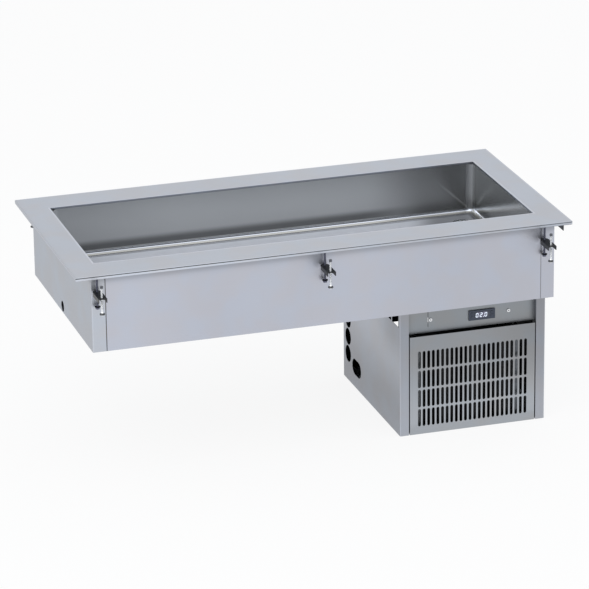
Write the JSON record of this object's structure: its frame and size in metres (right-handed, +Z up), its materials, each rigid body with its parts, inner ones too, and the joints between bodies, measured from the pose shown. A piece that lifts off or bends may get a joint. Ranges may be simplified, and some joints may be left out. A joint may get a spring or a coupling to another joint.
{
  "type": "drop-in refrigerated food well",
  "caption": "Rectangular stainless drop-in well with a flat rim, clamps for the worktop and a refrigeration housing with a slotted grille below one end.",
  "frame": {"origin": "centre of the rim's seating plane, the underside of its folded lip, where it lies on the worktop", "axes": "+X along the well towards the refrigeration housing's end, +Y to the back, +Z up"},
  "size_m": [1.47, 0.836, 0.62],
  "materials": {
    "rim_steel": "fine brushed stainless, satin",
    "tub_steel": "bright drawn stainless, soft mirror",
    "casing_steel": "satin stainless sheet",
    "housing_steel": "satin stainless sheet",
    "galvanised_steel": "galvanised sheet, faint spangle",
    "bright_steel": "bright zinc and stainless hardware",
    "dark_steel": "dark zinc, dull",
    "black_steel": "black passivated steel, dull sheen",
    "black_paint": "black enamel, satin",
    "black_plastic": "black moulded plastic",
    "bezel_plastic": "blue-grey moulded plastic, matt",
    "display": "glossy display window with plain lit digits",
    "fins": "thin aluminium fins, mill finish",
    "foam": "rigid polyurethane foam",
    "copper": "drawn copper tube",
    "valve_brass": "nickel-tinted brass casting"
  },
  "bodies": {
    "root": {"rim_frame": "rim_steel", "well_tub": "tub_steel", "drain_strainer": "bright_steel", "drain_outlet": "bright_steel", "drain_valve_body": "valve_brass", "left_end_panel": "casing_steel", "right_end_panel": "casing_steel", "front_panel": "casing_steel", "back_panel": "casing_steel", "bottom_panel": "galvanised_steel", "insulation": "foam", "evaporator_coil": "copper", "housing_left_side": "housing_steel", "housing_right_side": "housing_steel", "housing_base": "galvanised_steel", "housing_back": "housing_steel", "cable_gland": "black_plastic", "control_panel": "housing_steel", "thermostat_body": "bezel_plastic", "thermostat_display": "display", "panel_screw_1": "bright_steel", "panel_screw_2": "bright_steel", "condenser": "fins", "fan_shroud": "galvanised_steel", "fan_motor": "black_paint", "compressor": "black_paint", "compressor_relay": "black_plastic", "discharge_pipe": "copper", "end_bracket": "black_steel", "front_clamp_left_bolt": "dark_steel", "back_clamp_left_bolt": "dark_steel", "front_clamp_middle_bolt": "dark_steel", "back_clamp_middle_bolt": "dark_steel", "front_clamp_right_bolt": "dark_steel", "back_clamp_right_bolt": "dark_steel"},
    "grille_panel": {"grille_panel": "housing_steel"},
    "fan_blade": {"fan_blade": "black_plastic"},
    "drain_lever": {"drain_valve_lever": "black_paint"},
    "thermostat_key_1": {"thermostat_key_1": "bezel_plastic"},
    "thermostat_key_2": {"thermostat_key_2": "bezel_plastic"},
    "thermostat_key_3": {"thermostat_key_3": "bezel_plastic"},
    "thermostat_key_4": {"thermostat_key_4": "bezel_plastic"},
    "front_clamp_left_bracket": {"front_clamp_left_bracket": "black_steel"},
    "front_clamp_left_pad": {"front_clamp_left_pad": "black_plastic"},
    "front_clamp_left_screw": {"front_clamp_left_screw": "bright_steel"},
    "back_clamp_left_bracket": {"back_clamp_left_bracket": "black_steel"},
    "back_clamp_left_pad": {"back_clamp_left_pad": "black_plastic"},
    "back_clamp_left_screw": {"back_clamp_left_screw": "bright_steel"},
    "front_clamp_middle_bracket": {"front_clamp_middle_bracket": "black_steel"},
    "front_clamp_middle_pad": {"front_clamp_middle_pad": "black_plastic"},
    "front_clamp_middle_screw": {"front_clamp_middle_screw": "bright_steel"},
    "back_clamp_middle_bracket": {"back_clamp_middle_bracket": "black_steel"},
    "back_clamp_middle_pad": {"back_clamp_middle_pad": "black_plastic"},
    "back_clamp_middle_screw": {"back_clamp_middle_screw": "bright_steel"},
    "front_clamp_right_bracket": {"front_clamp_right_bracket": "black_steel"},
    "front_clamp_right_pad": {"front_clamp_right_pad": "black_plastic"},
    "front_clamp_right_screw": {"front_clamp_right_screw": "bright_steel"},
    "back_clamp_right_bracket": {"back_clamp_right_bracket": "black_steel"},
    "back_clamp_right_pad": {"back_clamp_right_pad": "black_plastic"},
    "back_clamp_right_screw": {"back_clamp_right_screw": "bright_steel"}
  },
  "joints": [
    {"name": "grille_pull", "type": "slide", "parent": "root", "child": "grille_panel", "axis": [0, -1, 0], "range_m": [0, 0.06]},
    {"name": "fan_spin", "type": "hinge", "parent": "root", "child": "fan_blade", "pos_m": [0.44, -0.23, -0.4645], "axis": [0, 1, 0], "continuous": true},
    {"name": "drain_lever_turn", "type": "hinge", "parent": "root", "child": "drain_lever", "pos_m": [0.592, 0.146, -0.2716], "axis": [0, 1, 0], "range_deg": [-90, 0]},
    {"name": "key_1_press", "type": "slide", "parent": "root", "child": "thermostat_key_1", "axis": [0, 1, 0], "range_m": [0, 0.001], "stiffness_N_per_m": 300},
    {"name": "key_2_press", "type": "slide", "parent": "root", "child": "thermostat_key_2", "axis": [0, 1, 0], "range_m": [0, 0.001], "stiffness_N_per_m": 300},
    {"name": "key_3_press", "type": "slide", "parent": "root", "child": "thermostat_key_3", "axis": [0, 1, 0], "range_m": [0, 0.001], "stiffness_N_per_m": 300},
    {"name": "key_4_press", "type": "slide", "parent": "root", "child": "thermostat_key_4", "axis": [0, 1, 0], "range_m": [0, 0.001], "stiffness_N_per_m": 300},
    {"name": "front_clamp_left_swing", "type": "hinge", "parent": "root", "child": "front_clamp_left_bracket", "pos_m": [-0.673, -0.355, -0.044], "axis": [0, 0, 1], "range_deg": [-85, 85]},
    {"name": "front_clamp_left_lift", "type": "slide", "parent": "front_clamp_left_bracket", "child": "front_clamp_left_pad", "axis": [0, 0, 1], "range_m": [-0.0262, 0.0037]},
    {"name": "front_clamp_left_turn", "type": "hinge", "parent": "front_clamp_left_pad", "child": "front_clamp_left_screw", "pos_m": [-0.673, -0.406, -0.05], "axis": [0, 0, 1], "range_deg": [-9360, 1260]},
    {"name": "back_clamp_left_swing", "type": "hinge", "parent": "root", "child": "back_clamp_left_bracket", "pos_m": [-0.673, 0.355, -0.044], "axis": [0, 0, 1], "range_deg": [-85, 85]},
    {"name": "back_clamp_left_lift", "type": "slide", "parent": "back_clamp_left_bracket", "child": "back_clamp_left_pad", "axis": [0, 0, 1], "range_m": [-0.0182, 0.0117]},
    {"name": "back_clamp_left_turn", "type": "hinge", "parent": "back_clamp_left_pad", "child": "back_clamp_left_screw", "pos_m": [-0.673, 0.406, -0.05], "axis": [0, 0, 1], "range_deg": [-6480, 4140]},
    {"name": "front_clamp_middle_swing", "type": "hinge", "parent": "root", "child": "front_clamp_middle_bracket", "pos_m": [-0.01, -0.355, -0.044], "axis": [0, 0, 1], "range_deg": [-85, 85]},
    {"name": "front_clamp_middle_lift", "type": "slide", "parent": "front_clamp_middle_bracket", "child": "front_clamp_middle_pad", "axis": [0, 0, 1], "range_m": [-0.0262, 0.0037]},
    {"name": "front_clamp_middle_turn", "type": "hinge", "parent": "front_clamp_middle_pad", "child": "front_clamp_middle_screw", "pos_m": [-0.01, -0.406, -0.05], "axis": [0, 0, 1], "range_deg": [-9360, 1260]},
    {"name": "back_clamp_middle_swing", "type": "hinge", "parent": "root", "child": "back_clamp_middle_bracket", "pos_m": [-0.01, 0.355, -0.044], "axis": [0, 0, 1], "range_deg": [-85, 85]},
    {"name": "back_clamp_middle_lift", "type": "slide", "parent": "back_clamp_middle_bracket", "child": "back_clamp_middle_pad", "axis": [0, 0, 1], "range_m": [-0.0182, 0.0117]},
    {"name": "back_clamp_middle_turn", "type": "hinge", "parent": "back_clamp_middle_pad", "child": "back_clamp_middle_screw", "pos_m": [-0.01, 0.406, -0.05], "axis": [0, 0, 1], "range_deg": [-6480, 4140]},
    {"name": "front_clamp_right_swing", "type": "hinge", "parent": "root", "child": "front_clamp_right_bracket", "pos_m": [0.652, -0.355, -0.044], "axis": [0, 0, 1], "range_deg": [-85, 85]},
    {"name": "front_clamp_right_lift", "type": "slide", "parent": "front_clamp_right_bracket", "child": "front_clamp_right_pad", "axis": [0, 0, 1], "range_m": [-0.0262, 0.0037]},
    {"name": "front_clamp_right_turn", "type": "hinge", "parent": "front_clamp_right_pad", "child": "front_clamp_right_screw", "pos_m": [0.652, -0.406, -0.05], "axis": [0, 0, 1], "range_deg": [-9360, 1260]},
    {"name": "back_clamp_right_swing", "type": "hinge", "parent": "root", "child": "back_clamp_right_bracket", "pos_m": [0.652, 0.355, -0.044], "axis": [0, 0, 1], "range_deg": [-85, 85]},
    {"name": "back_clamp_right_lift", "type": "slide", "parent": "back_clamp_right_bracket", "child": "back_clamp_right_pad", "axis": [0, 0, 1], "range_m": [-0.0182, 0.0117]},
    {"name": "back_clamp_right_turn", "type": "hinge", "parent": "back_clamp_right_pad", "child": "back_clamp_right_screw", "pos_m": [0.652, 0.406, -0.05], "axis": [0, 0, 1], "range_deg": [-6480, 4140]}
  ],
  "couplings": [
    {"joint": "front_clamp_left_lift", "follows": "front_clamp_left_turn", "m_per_rad": 0.00015915},
    {"joint": "back_clamp_left_lift", "follows": "back_clamp_left_turn", "m_per_rad": 0.00015915},
    {"joint": "front_clamp_middle_lift", "follows": "front_clamp_middle_turn", "m_per_rad": 0.00015915},
    {"joint": "back_clamp_middle_lift", "follows": "back_clamp_middle_turn", "m_per_rad": 0.00015915},
    {"joint": "front_clamp_right_lift", "follows": "front_clamp_right_turn", "m_per_rad": 0.00015915},
    {"joint": "back_clamp_right_lift", "follows": "back_clamp_right_turn", "m_per_rad": 0.00015915}
  ]
}
